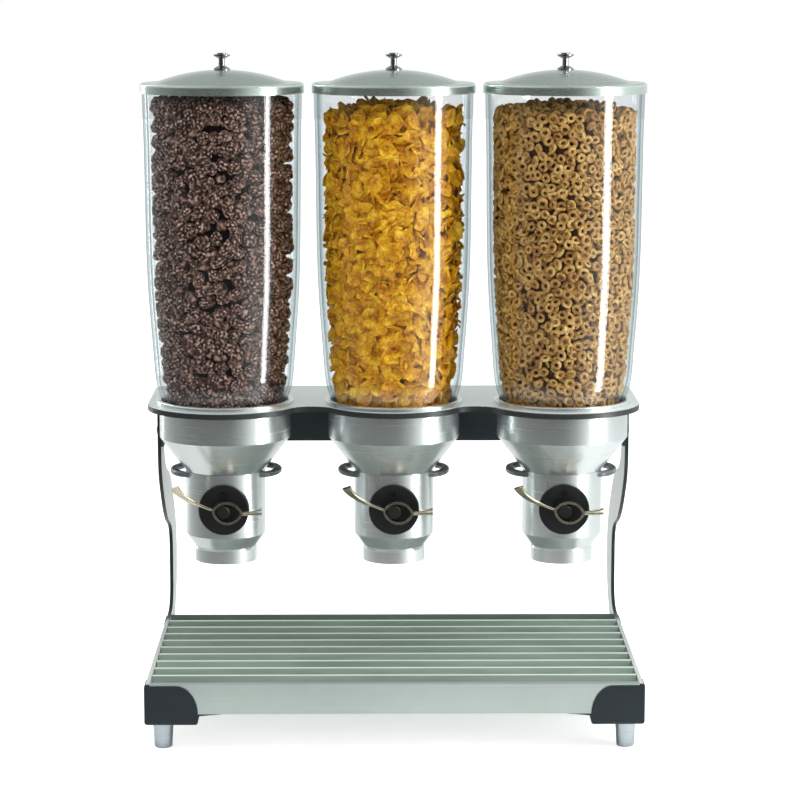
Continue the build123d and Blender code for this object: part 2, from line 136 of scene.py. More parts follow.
def spread(tree, value, low, high, start=0.3, end=0.7):
    """Map a noise value onto a range."""
    node = tree.nodes.new("ShaderNodeMapRange")
    node.inputs["From Min"].default_value = start
    node.inputs["From Max"].default_value = end
    node.inputs["To Min"].default_value = low
    node.inputs["To Max"].default_value = high
    tree.links.new(value, node.inputs["Value"])
    return node.outputs["Result"]


def bump(tree, shader, height, distance, strength=0.5):
    node = tree.nodes.new("ShaderNodeBump")
    node.inputs["Strength"].default_value = strength
    node.inputs["Distance"].default_value = distance
    tree.links.new(height, node.inputs["Height"])
    tree.links.new(node.outputs["Normal"], shader.inputs["Normal"])


def facing_up(tree, low=0.6, high=0.9):
    """How far a face looks up, from none to full."""
    geometry = tree.nodes.new("ShaderNodeNewGeometry")
    parts = tree.nodes.new("ShaderNodeSeparateXYZ")
    tree.links.new(geometry.outputs["Normal"], parts.inputs[0])
    return spread(tree, parts.outputs["Z"], 0.0, 1.0, low, high)


def blend(tree, factor, first, second):
    """Mix of two colours, each a socket or a plain colour."""
    mix = tree.nodes.new("ShaderNodeMix")
    mix.data_type = "RGBA"
    tree.links.new(factor, mix.inputs["Factor"])
    for name, colour in (("A", first), ("B", second)):
        if isinstance(colour, tuple):
            mix.inputs[name].default_value = (*colour, 1.0)
        else:
            tree.links.new(colour, mix.inputs[name])
    return mix.outputs["Result"]


def painted_edge_highlight(tree, colour, highlight_colour, radius, low=0.02, high=0.2):
    """Blend a painted highlight colour in along rounded edges, by comparing bevelled and true normals."""
    bevel = tree.nodes.new("ShaderNodeBevel")
    bevel.inputs["Radius"].default_value = radius
    geometry = tree.nodes.new("ShaderNodeNewGeometry")
    turn = tree.nodes.new("ShaderNodeVectorMath")
    turn.operation = "DOT_PRODUCT"
    tree.links.new(bevel.outputs["Normal"], turn.inputs[0])
    tree.links.new(geometry.outputs["True Normal"], turn.inputs[1])
    edge = spread(tree, turn.outputs["Value"], 1.0, 0.0, 1.0 - high, 1.0 - low)
    return blend(tree, edge, colour, highlight_colour)


def brushed_metal(name, dark, light, direction, roughness=(0.26, 0.4), depth=0.00004, metallic=1.0,
                  sides=None, lift=0.35):
    """Metal with fine brush lines; direction is the stretch of the lines on each axis."""
    mat, tree, shader = mat_new(name)
    lines = grain(tree, place_coords(tree, direction), 1.0, 6.0, 0.7)
    cloud = grain(tree, place_coords(tree, (9.0, 9.0, 9.0)), 1.0, 3.0)
    mixed = tree.nodes.new("ShaderNodeMath")
    mixed.operation = "MULTIPLY_ADD"
    mixed.inputs[1].default_value = 0.45
    tree.links.new(cloud, mixed.inputs[0])
    share = tree.nodes.new("ShaderNodeMath")
    share.operation = "MULTIPLY"
    share.inputs[1].default_value = 0.55
    tree.links.new(lines, share.inputs[0])
    tree.links.new(share.outputs[0], mixed.inputs[2])
    colour = ramp(tree, mixed.outputs[0], [(0.35, dark), (0.65, light)])
    if sides:
        colour = blend(tree, facing_up(tree), sides, colour)
    tree.links.new(colour, shader.inputs["Base Color"])
    tree.links.new(spread(tree, lines, *roughness), shader.inputs["Roughness"])
    shader.inputs["Metallic"].default_value = metallic
    bump(tree, shader, lines, depth, lift)
    return mat


def moulded_plastic(name, dark, light, roughness=(0.34, 0.46), edge=None, gloss=0.35):
    """Moulded plastic with a fine spark-eroded grain."""
    mat, tree, shader = mat_new(name)
    speckle = grain(tree, place_coords(tree, (900.0, 900.0, 900.0)), 1.0, 3.0)
    cloud = grain(tree, place_coords(tree, (25.0, 25.0, 25.0)), 1.0, 3.0)
    colour = ramp(tree, cloud, [(0.3, dark), (0.7, light)])
    if edge:
        # Painted highlight along rounded edges, where an edge colour is given.
        colour = painted_edge_highlight(tree, colour, edge, 0.0012)
    tree.links.new(colour, shader.inputs["Base Color"])
    tree.links.new(spread(tree, cloud, *roughness), shader.inputs["Roughness"])
    shader.inputs["Specular IOR Level"].default_value = gloss
    bump(tree, shader, speckle, 0.00006, 0.4)
    return mat


def panel_coat():
    """Satin grey coat on the faces of the side panels; their cut edges are painted dark as shade, and the
    upward-facing front edges are painted light as a highlight.
    """
    mat, tree, shader = mat_new("panel_coat")
    geometry = tree.nodes.new("ShaderNodeNewGeometry")
    parts = tree.nodes.new("ShaderNodeSeparateXYZ")
    tree.links.new(geometry.outputs["Normal"], parts.inputs[0])
    size = tree.nodes.new("ShaderNodeMath")
    size.operation = "ABSOLUTE"
    tree.links.new(parts.outputs["X"], size.inputs[0])
    cloud = grain(tree, place_coords(tree, (30.0, 30.0, 30.0)), 1.0, 4.0)
    face = ramp(tree, cloud, [(0.3, (0.52, 0.55, 0.53)), (0.7, (0.6, 0.63, 0.61))])
    places = tree.nodes.new("ShaderNodeSeparateXYZ")
    tree.links.new(geometry.outputs["Position"], places.inputs[0])
    front = spread(tree, places.outputs["Y"], 1.0, 0.0, 0.07, 0.09)
    painted_top_highlight = tree.nodes.new("ShaderNodeMath")
    painted_top_highlight.operation = "MULTIPLY"
    tree.links.new(front, painted_top_highlight.inputs[0])
    tree.links.new(spread(tree, parts.outputs["Z"], 0.0, 1.0, 0.9, 0.97), painted_top_highlight.inputs[1])
    light = tree.nodes.new("ShaderNodeMath")
    light.operation = "MAXIMUM"
    tree.links.new(painted_top_highlight.outputs[0], light.inputs[0])
    tree.links.new(spread(tree, size.outputs[0], 0.0, 1.0, 0.5, 0.8), light.inputs[1])
    # Painted shade and highlight: edges that don't face sideways take the dark colour, and upward-facing
    # front edges keep the face colour as a painted highlight.
    colour = blend(tree, light.outputs[0], (0.022, 0.03, 0.028), face)
    tree.links.new(colour, shader.inputs["Base Color"])
    shader.inputs["Metallic"].default_value = 0.35
    tree.links.new(spread(tree, cloud, 0.3, 0.42), shader.inputs["Roughness"])
    bump(tree, shader, grain(tree, place_coords(tree, (700.0, 700.0, 700.0)), 1.0), 0.00004, 0.4)
    return mat


def grille_metal():
    """Painted highlight on the upward faces and dull green-grey flanks, by the way that each face looks."""
    mat, tree, shader = mat_new("grille_bar")
    lines = grain(tree, place_coords(tree, (2.0, 900.0, 900.0)), 1.0, 5.0)
    cloud = grain(tree, place_coords(tree, (7.0, 40.0, 40.0)), 1.0, 3.0)
    flank = ramp(tree, cloud, [(0.3, (0.28, 0.37, 0.31)), (0.7, (0.41, 0.52, 0.44))])
    # Painted highlight: faces that look up take the bright colour.
    colour = blend(tree, facing_up(tree), flank, (0.78, 0.84, 0.78))
    tree.links.new(colour, shader.inputs["Base Color"])
    shader.inputs["Metallic"].default_value = 0.55
    tree.links.new(spread(tree, lines, 0.35, 0.5), shader.inputs["Roughness"])
    bump(tree, shader, lines, 0.00003, 0.3)
    return mat


def clear_wall():
    """Clear hopper wall: see-through, with gloss and a faint cool tint where it is seen edge on."""
    mat = bpy.data.materials.new("clear_wall")
    mat.use_nodes = True
    tree = mat.node_tree
    tree.nodes.clear()
    out = tree.nodes.new("ShaderNodeOutputMaterial")
    weight = add(tree, "ShaderNodeLayerWeight", Blend=0.5)
    facing = weight.outputs["Facing"]
    tint = ramp(tree, facing, [(0.0, (0.985, 0.99, 0.99)), (0.6, (0.94, 0.96, 0.965)),
                               (1.0, (0.5, 0.57, 0.59))])
    clear = tree.nodes.new("ShaderNodeBsdfTransparent")
    tree.links.new(tint, clear.inputs["Color"])
    gloss = tree.nodes.new("ShaderNodeBsdfGlossy")
    gloss.inputs["Roughness"].default_value = 0.03
    rise = tree.nodes.new("ShaderNodeMath")
    rise.operation = "POWER"
    rise.inputs[1].default_value = 5.0
    tree.links.new(facing, rise.inputs[0])
    share = tree.nodes.new("ShaderNodeMath")
    share.operation = "MULTIPLY_ADD"
    share.inputs[1].default_value = 0.5
    share.inputs[2].default_value = 0.06
    tree.links.new(rise.outputs[0], share.inputs[0])
    mix = tree.nodes.new("ShaderNodeMixShader")
    tree.links.new(share.outputs[0], mix.inputs["Fac"])
    tree.links.new(clear.outputs[0], mix.inputs[1])
    tree.links.new(gloss.outputs[0], mix.inputs[2])
    tree.links.new(mix.outputs[0], out.inputs["Surface"])
    return mat


def cereal_material(name, stops, roughness, bump_scale, bump_depth):
    """Baked cereal: colour from broad patches and fine crumbs."""
    mat, tree, shader = mat_new(name)
    patches = grain(tree, place_coords(tree, (85.0, 85.0, 85.0)), 1.0, 3.0, 0.6)
    crumbs = grain(tree, place_coords(tree, (bump_scale, bump_scale, bump_scale)), 1.0, 5.0, 0.65)
    mixed = tree.nodes.new("ShaderNodeMath")
    mixed.operation = "MULTIPLY_ADD"
    mixed.inputs[1].default_value = 0.45
    tree.links.new(crumbs, mixed.inputs[0])
    share = tree.nodes.new("ShaderNodeMath")
    share.operation = "MULTIPLY"
    share.inputs[1].default_value = 0.55
    tree.links.new(patches, share.inputs[0])
    tree.links.new(share.outputs[0], mixed.inputs[2])
    tree.links.new(ramp(tree, mixed.outputs[0], stops), shader.inputs["Base Color"])
    tree.links.new(spread(tree, crumbs, roughness, roughness + 0.2), shader.inputs["Roughness"])
    bump(tree, shader, crumbs, bump_depth, 0.7)
    return mat


def nubby_material(name, stops):
    """Dark baked clusters, painted lighter on the crowns of their nubs as highlight and darker in the gaps
    between as shade.
    """
    mat, tree, shader = mat_new(name)
    geometry = tree.nodes.new("ShaderNodeNewGeometry")
    # Painted highlight and shade: pointed crowns lighter, hollows between the nubs darker.
    crown = spread(tree, geometry.outputs["Pointiness"], 0.0, 0.7, 0.44, 0.58)
    patches = grain(tree, place_coords(tree, (160.0, 160.0, 160.0)), 1.0, 3.0, 0.6)
    crumbs = grain(tree, place_coords(tree, (700.0, 700.0, 700.0)), 1.0, 4.0, 0.6)
    mixed = tree.nodes.new("ShaderNodeMath")
    mixed.operation = "MULTIPLY_ADD"
    mixed.inputs[1].default_value = 0.6
    tree.links.new(patches, mixed.inputs[0])
    tree.links.new(crown, mixed.inputs[2])
    tree.links.new(ramp(tree, mixed.outputs[0], stops), shader.inputs["Base Color"])
    shader.inputs["Specular IOR Level"].default_value = 0.4
    tree.links.new(spread(tree, crumbs, 0.35, 0.6), shader.inputs["Roughness"])
    bump(tree, shader, crumbs, 0.0005, 0.8)
    return mat


def paint(mat, *names):
    """Give one material to CAD nodes."""
    for name in names:
        obj = nodes[name]
        obj.data.materials.clear()
        obj.data.materials.append(mat)


def for_sides(*names):
    return [f"{side}_{name}" for side in SIDES for name in names]


def paint_stand():
    paint(panel_coat(), "side_panel_left", "side_panel_right")
    along_x = (3.0, 1200.0, 1200.0)
    sheet_steel = brushed_metal("brushed_sheet", (0.46, 0.53, 0.5), (0.58, 0.65, 0.62), along_x,
                                (0.3, 0.42))
    paint(sheet_steel, "front_fascia", "rear_rail")
    plate = brushed_metal("plate_sheet", (0.8, 0.87, 0.86), (0.88, 0.94, 0.93), along_x, (0.35, 0.45),
                          metallic=0.7, sides=(0.05, 0.058, 0.058))
    paint(plate, "support_plate")
    paint(brushed_metal("tray_sheet", (0.3, 0.36, 0.31), (0.42, 0.48, 0.43), along_x, (0.4, 0.5)),
          "crumb_tray")
    paint(grille_metal(), "grille_slats", "grille_bearers")
    black_coat = moulded_plastic("black_coat", (0.03, 0.04, 0.046), (0.042, 0.054, 0.06), (0.3, 0.4))
    paint(black_coat, "rear_skirt")
    # The cap's last colour is a painted highlight along its rounded edges.
    cap = moulded_plastic("cap_plastic", (0.006, 0.011, 0.015), (0.011, 0.018, 0.024), (0.38, 0.48),
                          (0.03, 0.045, 0.045))
    for place in ("front", "rear"):
        for side in ("left", "right"):
            paint(cap, f"corner_cap_{place}_{side}")
    turned = brushed_metal("foot_metal", (0.4, 0.45, 0.49), (0.56, 0.62, 0.66), (20.0, 20.0, 900.0),
                           (0.25, 0.4))
    for place in ("front", "rear"):
        for side in ("left", "right"):
            paint(turned, f"foot_{place}_{side}")
    screw = brushed_metal("screw_steel", (0.3, 0.32, 0.32), (0.5, 0.52, 0.52), (300.0, 300.0, 300.0))
    paint(screw, "skirt_screws_left", "skirt_screws_right")


def paint_dispensers():
    turned = (2.5, 2.5, 900.0)
    satin = brushed_metal("satin_aluminium", (0.67, 0.715, 0.71), (0.71, 0.755, 0.75), turned,
                          (0.24, 0.28), 0.00001, 0.88, lift=0.02)
    paint(satin, *for_sides("funnel", "valve_body", "spout"))
    lid = brushed_metal("lid_steel", (0.55, 0.635, 0.585), (0.59, 0.675, 0.625), (8.0, 8.0, 300.0),
                        (0.24, 0.29), 0.00001, 0.92, lift=0.03)
    paint(lid, *for_sides("lid"))
    chrome = brushed_metal("knob_chrome", (0.3, 0.31, 0.31), (0.46, 0.47, 0.47), (80.0, 80.0, 200.0),
                           (0.16, 0.24), 0.00001)
    paint(chrome, *for_sides("lid_knob"))
    # The loop's last colour is a painted highlight along its rounded edges.
    loop = moulded_plastic("loop_plastic", (0.05, 0.068, 0.07), (0.085, 0.105, 0.108), (0.24, 0.32),
                           (0.3, 0.36, 0.36), 0.6)
    paint(loop, *for_sides("finger_loops"))
    cover = moulded_plastic("cover_plastic", (0.004, 0.0045, 0.005), (0.008, 0.009, 0.01), (0.4, 0.5))
    paint(cover, *for_sides("valve_cover"))
    hub = moulded_plastic("hub_plastic", (0.006, 0.007, 0.006), (0.014, 0.016, 0.012), (0.25, 0.35))
    paint(hub, *for_sides("lever_hub"))
    screw = brushed_metal("small_screw", (0.02, 0.02, 0.02), (0.06, 0.06, 0.06), (300.0, 300.0, 300.0),
                          (0.35, 0.5))
    paint(screw, *for_sides("cover_screw"))
    shaft = brushed_metal("shaft_steel", (0.5, 0.5, 0.48), (0.65, 0.65, 0.63), (900.0, 20.0, 900.0))
    paint(shaft, *for_sides("rotor_shaft"))
    lever = brushed_metal("lever_steel", (0.52, 0.47, 0.32), (0.74, 0.69, 0.54), (40.0, 400.0, 400.0),
                          (0.16, 0.26), lift=0.15)
    paint(lever, *for_sides("lever"))
    wheel = moulded_plastic("wheel_rubber", (0.6, 0.6, 0.57), (0.7, 0.7, 0.67), (0.45, 0.6))
    paint(wheel, *for_sides("portion_wheel"))
    paint(clear_wall(), *for_sides("container"))


def container_profile(side):
    """Inner radius of a container by height, read from its wall at several levels."""
    x0, y0 = axis_place(side)
    levels = {}
    mesh = nodes[f"{side}_container"].data
    for face in mesh.polygons:
        out = Vector((face.center.x - x0, face.center.y - y0, 0)).normalized()
        if face.normal.dot(out) < -0.8:
            for index in face.vertices:
                place = mesh.vertices[index].co
                level = round(place.z, 3)
                radius = math.hypot(place.x - x0, place.y - y0)
                levels[level] = min(levels.get(level, 1.0), radius)
    low = min(levels)
    high = max(levels)
    profile = []
    for level, radius in sorted(levels.items()):
        up = (level - low) / (high - low)
        profile.append((level, radius - BOTTOM_CLEARANCE - (TOP_CLEARANCE - BOTTOM_CLEARANCE) * up))
    return profile


def inner_radius(profile, z):
    """Inner radius at a height, straight between the levels that the wall has."""
    below = profile[0]
    for level in profile:
        if level[0] >= z:
            if level[0] == below[0]:
                return level[1]
            t = (z - below[0]) / (level[0] - below[0])
            return below[1] + t * (level[1] - below[1])
        below = level
    return profile[-1][1]


def cluster_mesh(rng, index, fineness=4):
    """A baked cluster: a ball covered with small round nubs."""
    bm = bmesh.new()
    bmesh.ops.create_icosphere(bm, subdivisions=fineness, radius=1.0)
    seeds = []
    while len(seeds) < NUB_COUNT:
        way = Vector((rng.gauss(0, 1), rng.gauss(0, 1), rng.gauss(0, 1))).normalized()
        if all(way.angle(seed) > NUB_ANGLE for seed in seeds):
            seeds.append(way)
        elif rng.random() < 0.002:
            break
    stretch = Vector((rng.uniform(0.85, 1.15), rng.uniform(0.8, 1.1), rng.uniform(0.8, 1.1)))
    offset = Vector((index * 7.0, 0, 0))
    for vertex in bm.verts:
        way = vertex.co.normalized()
        near = min(way.angle(seed) for seed in seeds)
        crown = math.sqrt(max(0.0, 1.0 - (near / NUB_ANGLE) ** 2 * 1.4))
        lump = noise.noise(way * 1.6 + offset)
        radius = 0.68 + 0.24 * crown + 0.22 * lump
        vertex.co = Vector((way.x * stretch.x, way.y * stretch.y, way.z * stretch.z)) * radius
    return bm


def plain_cluster_mesh(rng, index):
    return cluster_mesh(rng, index, 3)


def flake_mesh(rng, index):
    """A corn flake: an irregular disc, curled and blistered, with a thin edge."""
    bm = bmesh.new()
    rings = 4
    spokes = 12
    curl_x = rng.uniform(0.05, 0.4)
    curl_y = rng.uniform(-0.15, 0.2)
    twist = rng.uniform(-0.3, 0.3)
    reach = [rng.uniform(0.72, 1.15) for _ in range(spokes)]
    squeeze = rng.uniform(0.62, 0.9)
    offset = Vector((index * 5.1, 2.3, 0))
    sheets = []
    for lift in (0.035, -0.035):
        centre = None
        rows = []
        for ring in range(rings + 1):
            row = []
            count = 1 if ring == 0 else spokes
            for spoke in range(count):
                angle = 2 * math.pi * spoke / spokes
                radius = ring / rings * (reach[spoke] if ring else 0)
                x = radius * math.cos(angle)
                y = radius * math.sin(angle) * squeeze
                z = curl_x * x * x + curl_y * y * y + twist * x * y
                z += 0.16 * noise.noise(Vector((x, y, 0)) * 2.2 + offset)
                z += 0.13 * noise.noise(Vector((x, y, 3)) * 5.0 + offset)
                z += lift * (1.0 if ring < rings else 0.15)
                row.append(bm.verts.new((x, y, z)))
            rows.append(row)
            centre = rows[0][0]
        for spoke in range(spokes):
            after = (spoke + 1) % spokes
            face = [centre, rows[1][spoke], rows[1][after]]
            bm.faces.new(face if lift > 0 else face[::-1])
            for ring in range(1, rings):
                face = [rows[ring][spoke], rows[ring + 1][spoke], rows[ring + 1][after], rows[ring][after]]
                bm.faces.new(face if lift > 0 else face[::-1])
        sheets.append(rows)
    for spoke in range(spokes):
        after = (spoke + 1) % spokes
        top, low = sheets[0][rings], sheets[1][rings]
        bm.faces.new([top[after], top[spoke], low[spoke], low[after]])
    return bm


def ring_mesh(rng, index):
    """A small baked ring, a little uneven in its tube and its round."""
    bm = bmesh.new()
    around = 14
    section = 7
    oval = rng.uniform(0.86, 1.0)
    rows = []
    for i in range(around):
        angle = 2 * math.pi * i / around
        lump = noise.noise(Vector((math.cos(angle), math.sin(angle), index)))
        tube = RING_TUBE / RING_RADIUS * (1 + 0.16 * lump)
        row = []
        for j in range(section):
            turn = 2 * math.pi * j / section
            radius = 1.0 + tube * math.cos(turn)
            place = (radius * math.cos(angle), radius * math.sin(angle) * oval,
                     tube * math.sin(turn) * 0.95)
            row.append(bm.verts.new(place))
        rows.append(row)
    for i in range(around):
        for j in range(section):
            a, b = rows[i], rows[(i + 1) % around]
            k = (j + 1) % section
            bm.faces.new([a[j], b[j], b[k], a[k]])
    return bm


def templates(maker, seed, count=12):
    """Vertex and face lists of several variants of one cereal piece."""
    rng = random.Random(seed)
    made = []
    for index in range(count):
        bm = maker(rng, index)
        bm.verts.ensure_lookup_table()
        bm.verts.index_update()
        places = [v.co.copy() for v in bm.verts]
        faces = [[v.index for v in f.verts] for f in bm.faces]
        bm.free()
        made.append((places, faces))
    return made


def shell_places(rng, profile, bottom, top, step, depth, squash):
    """Places near the container's wall, spaced at random but evenly enough: (angle, height, depth)."""
    places = []
    cells = {}
    tries = int(2 * math.pi * 0.08 * (top - bottom) / (step * step) * 9)
    for _ in range(tries):
        angle = rng.uniform(-math.pi, math.pi)
        z = rng.uniform(bottom, top)
        radius = inner_radius(profile, z)
        u = angle * radius
        key = (int(u / step), int(z / (step * squash)))
        free = True
        for du in (-1, 0, 1):
            for dz in (-1, 0, 1):
                for other_u, other_z in cells.get((key[0] + du, key[1] + dz), ()):
                    gap = math.hypot(u - other_u, (z - other_z) / squash)
                    if gap < step:
                        free = False
        if free:
            cells.setdefault(key, []).append((u, z))
            places.append((angle, z, radius - depth * rng.uniform(0.85, 1.15)))
    return places


def heap_places(rng, profile, level, step, rise):
    """Places over the top of the heap."""
    places = []
    radius = inner_radius(profile, level) - step * 0.6
    taken = []
    for _ in range(int(14 * (radius / step) ** 2)):
        r = radius * math.sqrt(rng.random())
        angle = rng.uniform(-math.pi, math.pi)
        z = level + rise * (1 - (r / radius) ** 2) + rng.uniform(-0.3, 0.3) * step
        x = r * math.cos(angle)
        y = r * math.sin(angle)
        if all(math.hypot(x - other_x, y - other_y) >= 0.8 * step for other_x, other_y in taken):
            taken.append((x, y))
            places.append((angle, z, r))
    return places


def fill(name, side, makes, size, places, mat, lean, seed, profile, share=1):
    """Join many small pieces into a few objects that ride with the container."""
    rng = random.Random(seed)
    x0, y0 = axis_place(side)
    groups = [([], []) for _ in range(share)]
    for count, (angle, z, radius) in enumerate(places):
        vertices, faces = groups[count % share]
        points, polygons = makes[rng.randrange(len(makes))]
        outward = Matrix.Rotation(angle, 3, "Z") @ Matrix.Rotation(math.pi / 2, 3, "Y")
        tilt = Matrix.Rotation(rng.gauss(0, lean), 3, "X") @ Matrix.Rotation(rng.gauss(0, lean), 3, "Y")
        spin = Matrix.Rotation(rng.uniform(0, 2 * math.pi), 3, "Z")
        turn = outward @ tilt @ spin
        scale = size * rng.uniform(0.86, 1.12)
        centre = Vector((x0 + radius * math.cos(angle), y0 + radius * math.sin(angle), z))
        start = len(vertices)
        for point in points:
            place = centre + turn @ (point * scale)
            out = Vector((place.x - x0, place.y - y0))
            limit = inner_radius(profile, place.z)
            if out.length > limit:
                out *= (limit - 0.12 * min(out.length - limit, 0.004)) / out.length
                place = Vector((x0 + out.x, y0 + out.y, place.z))
            place.z = max(place.z, profile[0][0] + 0.001)
            vertices.append(place)
        for polygon in polygons:
            faces.append([start + i for i in polygon])
    for index, (vertices, faces) in enumerate(groups):
        mesh = bpy.data.meshes.new(f"{side}_{name}_{index}")
        mesh.from_pydata(vertices, [], faces)
        mesh.shade_smooth()
        mesh.materials.append(mat)
        obj = bpy.data.objects.new(f"{side}_{name}_{index}", mesh)
        bpy.context.scene.collection.objects.link(obj)
        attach(obj, f"{side}_hopper")


def keep_inside(places, profile, margin):
    """Draw each place in from the wall by at least a margin."""
    kept = []
    for angle, z, radius in places:
        kept.append((angle, z, min(radius, inner_radius(profile, z) - margin)))
    return kept


def core(side, profile, bottom, top, inset, mat):
    """The hidden middle of the heap, a closed turned solid that blocks the view through it; its callers
    give it a dark colour as painted shade for the heap's inside.
    """
    x0, y0 = axis_place(side)
    bm = bmesh.new()
    segments = 40
    levels = 12
    rows = []
    for level in range(levels + 1):
        z = bottom + (top - bottom) * level / levels
        radius = inner_radius(profile, z) - inset
        row = []
        for i in range(segments):
            angle = 2 * math.pi * i / segments
            wave = 1 + 0.02 * noise.noise(Vector((angle * 3, z * 60, 0)))
            reach = radius * wave
            row.append(bm.verts.new((x0 + reach * math.cos(angle), y0 + reach * math.sin(angle), z)))
        rows.append(row)
    for low, high in zip(rows, rows[1:]):
        for i in range(segments):
            k = (i + 1) % segments
            bm.faces.new([low[i], low[k], high[k], high[i]])
    bm.faces.new(rows[0][::-1])
    bm.faces.new(rows[-1])
    mesh = bpy.data.meshes.new(f"{side}_cereal_core")
    bm.to_mesh(mesh)
    bm.free()
    mesh.materials.append(mat)
    obj = bpy.data.objects.new(f"{side}_cereal_core", mesh)
    bpy.context.scene.collection.objects.link(obj)
    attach(obj, f"{side}_hopper")


def fill_clusters():
    side = "left"
    profile = container_profile(side)
    bottom = profile[0][0] + 0.01
    top = 0.672
    rng = random.Random(11)
    # The lightest stop is the painted highlight on the nub crowns.
    chocolate = [(0.3, (0.004, 0.003, 0.003)), (0.58, (0.02, 0.01, 0.008)), (0.78, (0.13, 0.065, 0.048)),
                 (1.0, (0.62, 0.4, 0.32))]
    mat = nubby_material("chocolate_clusters", chocolate)
    makes = templates(cluster_mesh, 5)
    r = CLUSTER_RADIUS
    outer = shell_places(rng, profile, bottom, top - 0.004, 1.62 * r, 0.95 * r, 1.0)
    inner = shell_places(rng, profile, bottom, top - 0.004, 1.55 * r, 2.0 * r, 1.0)
    heap = heap_places(rng, profile, top - 0.004, 1.7 * r, 0.006)
    fill("clusters", side, makes, r, outer + heap, mat, 1.2, 21, profile, share=8)
    hidden = templates(plain_cluster_mesh, 8)
    fill("inner_clusters", side, hidden, r, inner, mat, 1.2, 24, profile, share=2)
    # Painted shade: the core is coloured near black for the shade deep in the heap.
    dark = cereal_material("cluster_core_painted_shade", [(0.3, (0.004, 0.002, 0.002)), (0.7, (0.012, 0.006, 0.005))],
                           0.7, 300.0, 0.0005)
    core(side, profile, bottom, top - 0.012, 2.6 * r, dark)


def fill_flakes():
    side = "middle"
    profile = container_profile(side)
    bottom = profile[0][0] + 0.012
    top = 0.662
    rng = random.Random(12)
    golden = [(0.32, (0.22, 0.07, 0.001)), (0.43, (0.6, 0.23, 0.002)), (0.54, (0.88, 0.46, 0.004)),
              (0.68, (1.0, 0.78, 0.06))]
    mat = cereal_material("corn_flakes", golden, 0.3, 330.0, 0.0012)
    makes = templates(flake_mesh, 6, 16)
    r = FLAKE_RADIUS
    outer = shell_places(rng, profile, bottom, top - 0.006, 0.9 * r, 0.0085, 0.75)
    inner = shell_places(rng, profile, bottom, top - 0.006, 0.9 * r, 0.014, 0.75)
    heap = heap_places(rng, profile, top - 0.006, 1.0 * r, 0.01)
    fill("flakes", side, makes, r, keep_inside(outer + inner, profile, 0.007) + heap, mat, 0.5, 22,
         profile, share=4)
    # Painted shade: the core is coloured darker than the flakes for the shade deep in the heap.
    dark = cereal_material("flake_core_painted_shade", [(0.3, (0.16, 0.05, 0.005)), (0.7, (0.4, 0.16, 0.01))], 0.7,
                           200.0, 0.0005)
    core(side, profile, bottom, top - 0.012, 0.021, dark)


def fill_rings():
    side = "right"
    profile = container_profile(side)
    bottom = profile[0][0] + 0.01
    top = 0.664
    rng = random.Random(13)
    baked = [(0.3, (0.1, 0.034, 0.006)), (0.43, (0.33, 0.15, 0.03)), (0.57, (0.62, 0.38, 0.11)),
             (0.72, (0.98, 0.76, 0.38))]
    mat = cereal_material("baked_rings", baked, 0.4, 520.0, 0.0003)
    makes = templates(ring_mesh, 7)
    r = RING_RADIUS + RING_TUBE
    outer = shell_places(rng, profile, bottom, top - 0.004, 1.42 * r, 0.0034, 0.95)
    inner = shell_places(rng, profile, bottom, top - 0.004, 1.5 * r, 0.0085, 0.95)
    heap = heap_places(rng, profile, top - 0.004, 1.6 * r, 0.008)
    fill("rings", side, makes, RING_RADIUS, outer, mat, 0.38, 23, profile, share=3)
    fill("inner_rings", side, makes, RING_RADIUS, inner + heap, mat, 0.75, 25, profile, share=3)
    # Painted shade: the core is coloured darker than the rings for the shade deep in the heap.
    dark = cereal_material("ring_core_painted_shade", [(0.3, (0.05, 0.018, 0.005)), (0.7, (0.14, 0.06, 0.02))], 0.7,
                           300.0, 0.0005)
    core(side, profile, bottom, top - 0.01, 0.014, dark)


def set_camera():
    data = bpy.data.cameras.new("camera")
    data.sensor_width = 36.0
    data.lens = CAMERA_LENS
    data.clip_end = 60.0
    camera = bpy.data.objects.new("camera", data)
    camera.location = CAMERA_PLACE
    camera.rotation_euler = (math.pi / 2 - CAMERA_PITCH, 0, -CAMERA_YAW)
    bpy.context.scene.collection.objects.link(camera)
    bpy.context.scene.camera = camera


def softbox(name, place, target, width, height, watts, diffuse=True):
    """A rectangular lamp that faces a target."""
    data = bpy.data.lights.new(name, "AREA")
    data.shape = "RECTANGLE"
    data.size = width
    data.size_y = height
    data.energy = watts
    lamp = bpy.data.objects.new(name, data)
    lamp.location = place
    lamp.rotation_euler = (Vector(target) - Vector(place)).to_track_quat("-Z", "Y").to_euler()
    lamp.visible_diffuse = diffuse
    lamp.visible_camera = False
    bpy.context.scene.collection.objects.link(lamp)
    return lamp


def set_lights():
    middle = (0, 0, 0.4)
    softbox("strip_right", (0.76, -0.43, 0.68), (0, -0.09, 0.68), 0.13, 1.28, 6)
    softbox("strip_left", (-1.2, 1.1, 0.95), (0, -0.09, 0.55), 0.12, 1.9, 5)
    top = softbox("top", (0, -0.8, 2.6), middle, 1.6, 1.2, 40)
    fill_light = softbox("front_fill", (-0.9, -3.1, 1.0), middle, 1.4, 1.4, 28)
    for lamp in (top, fill_light):
        lamp.visible_glossy = False


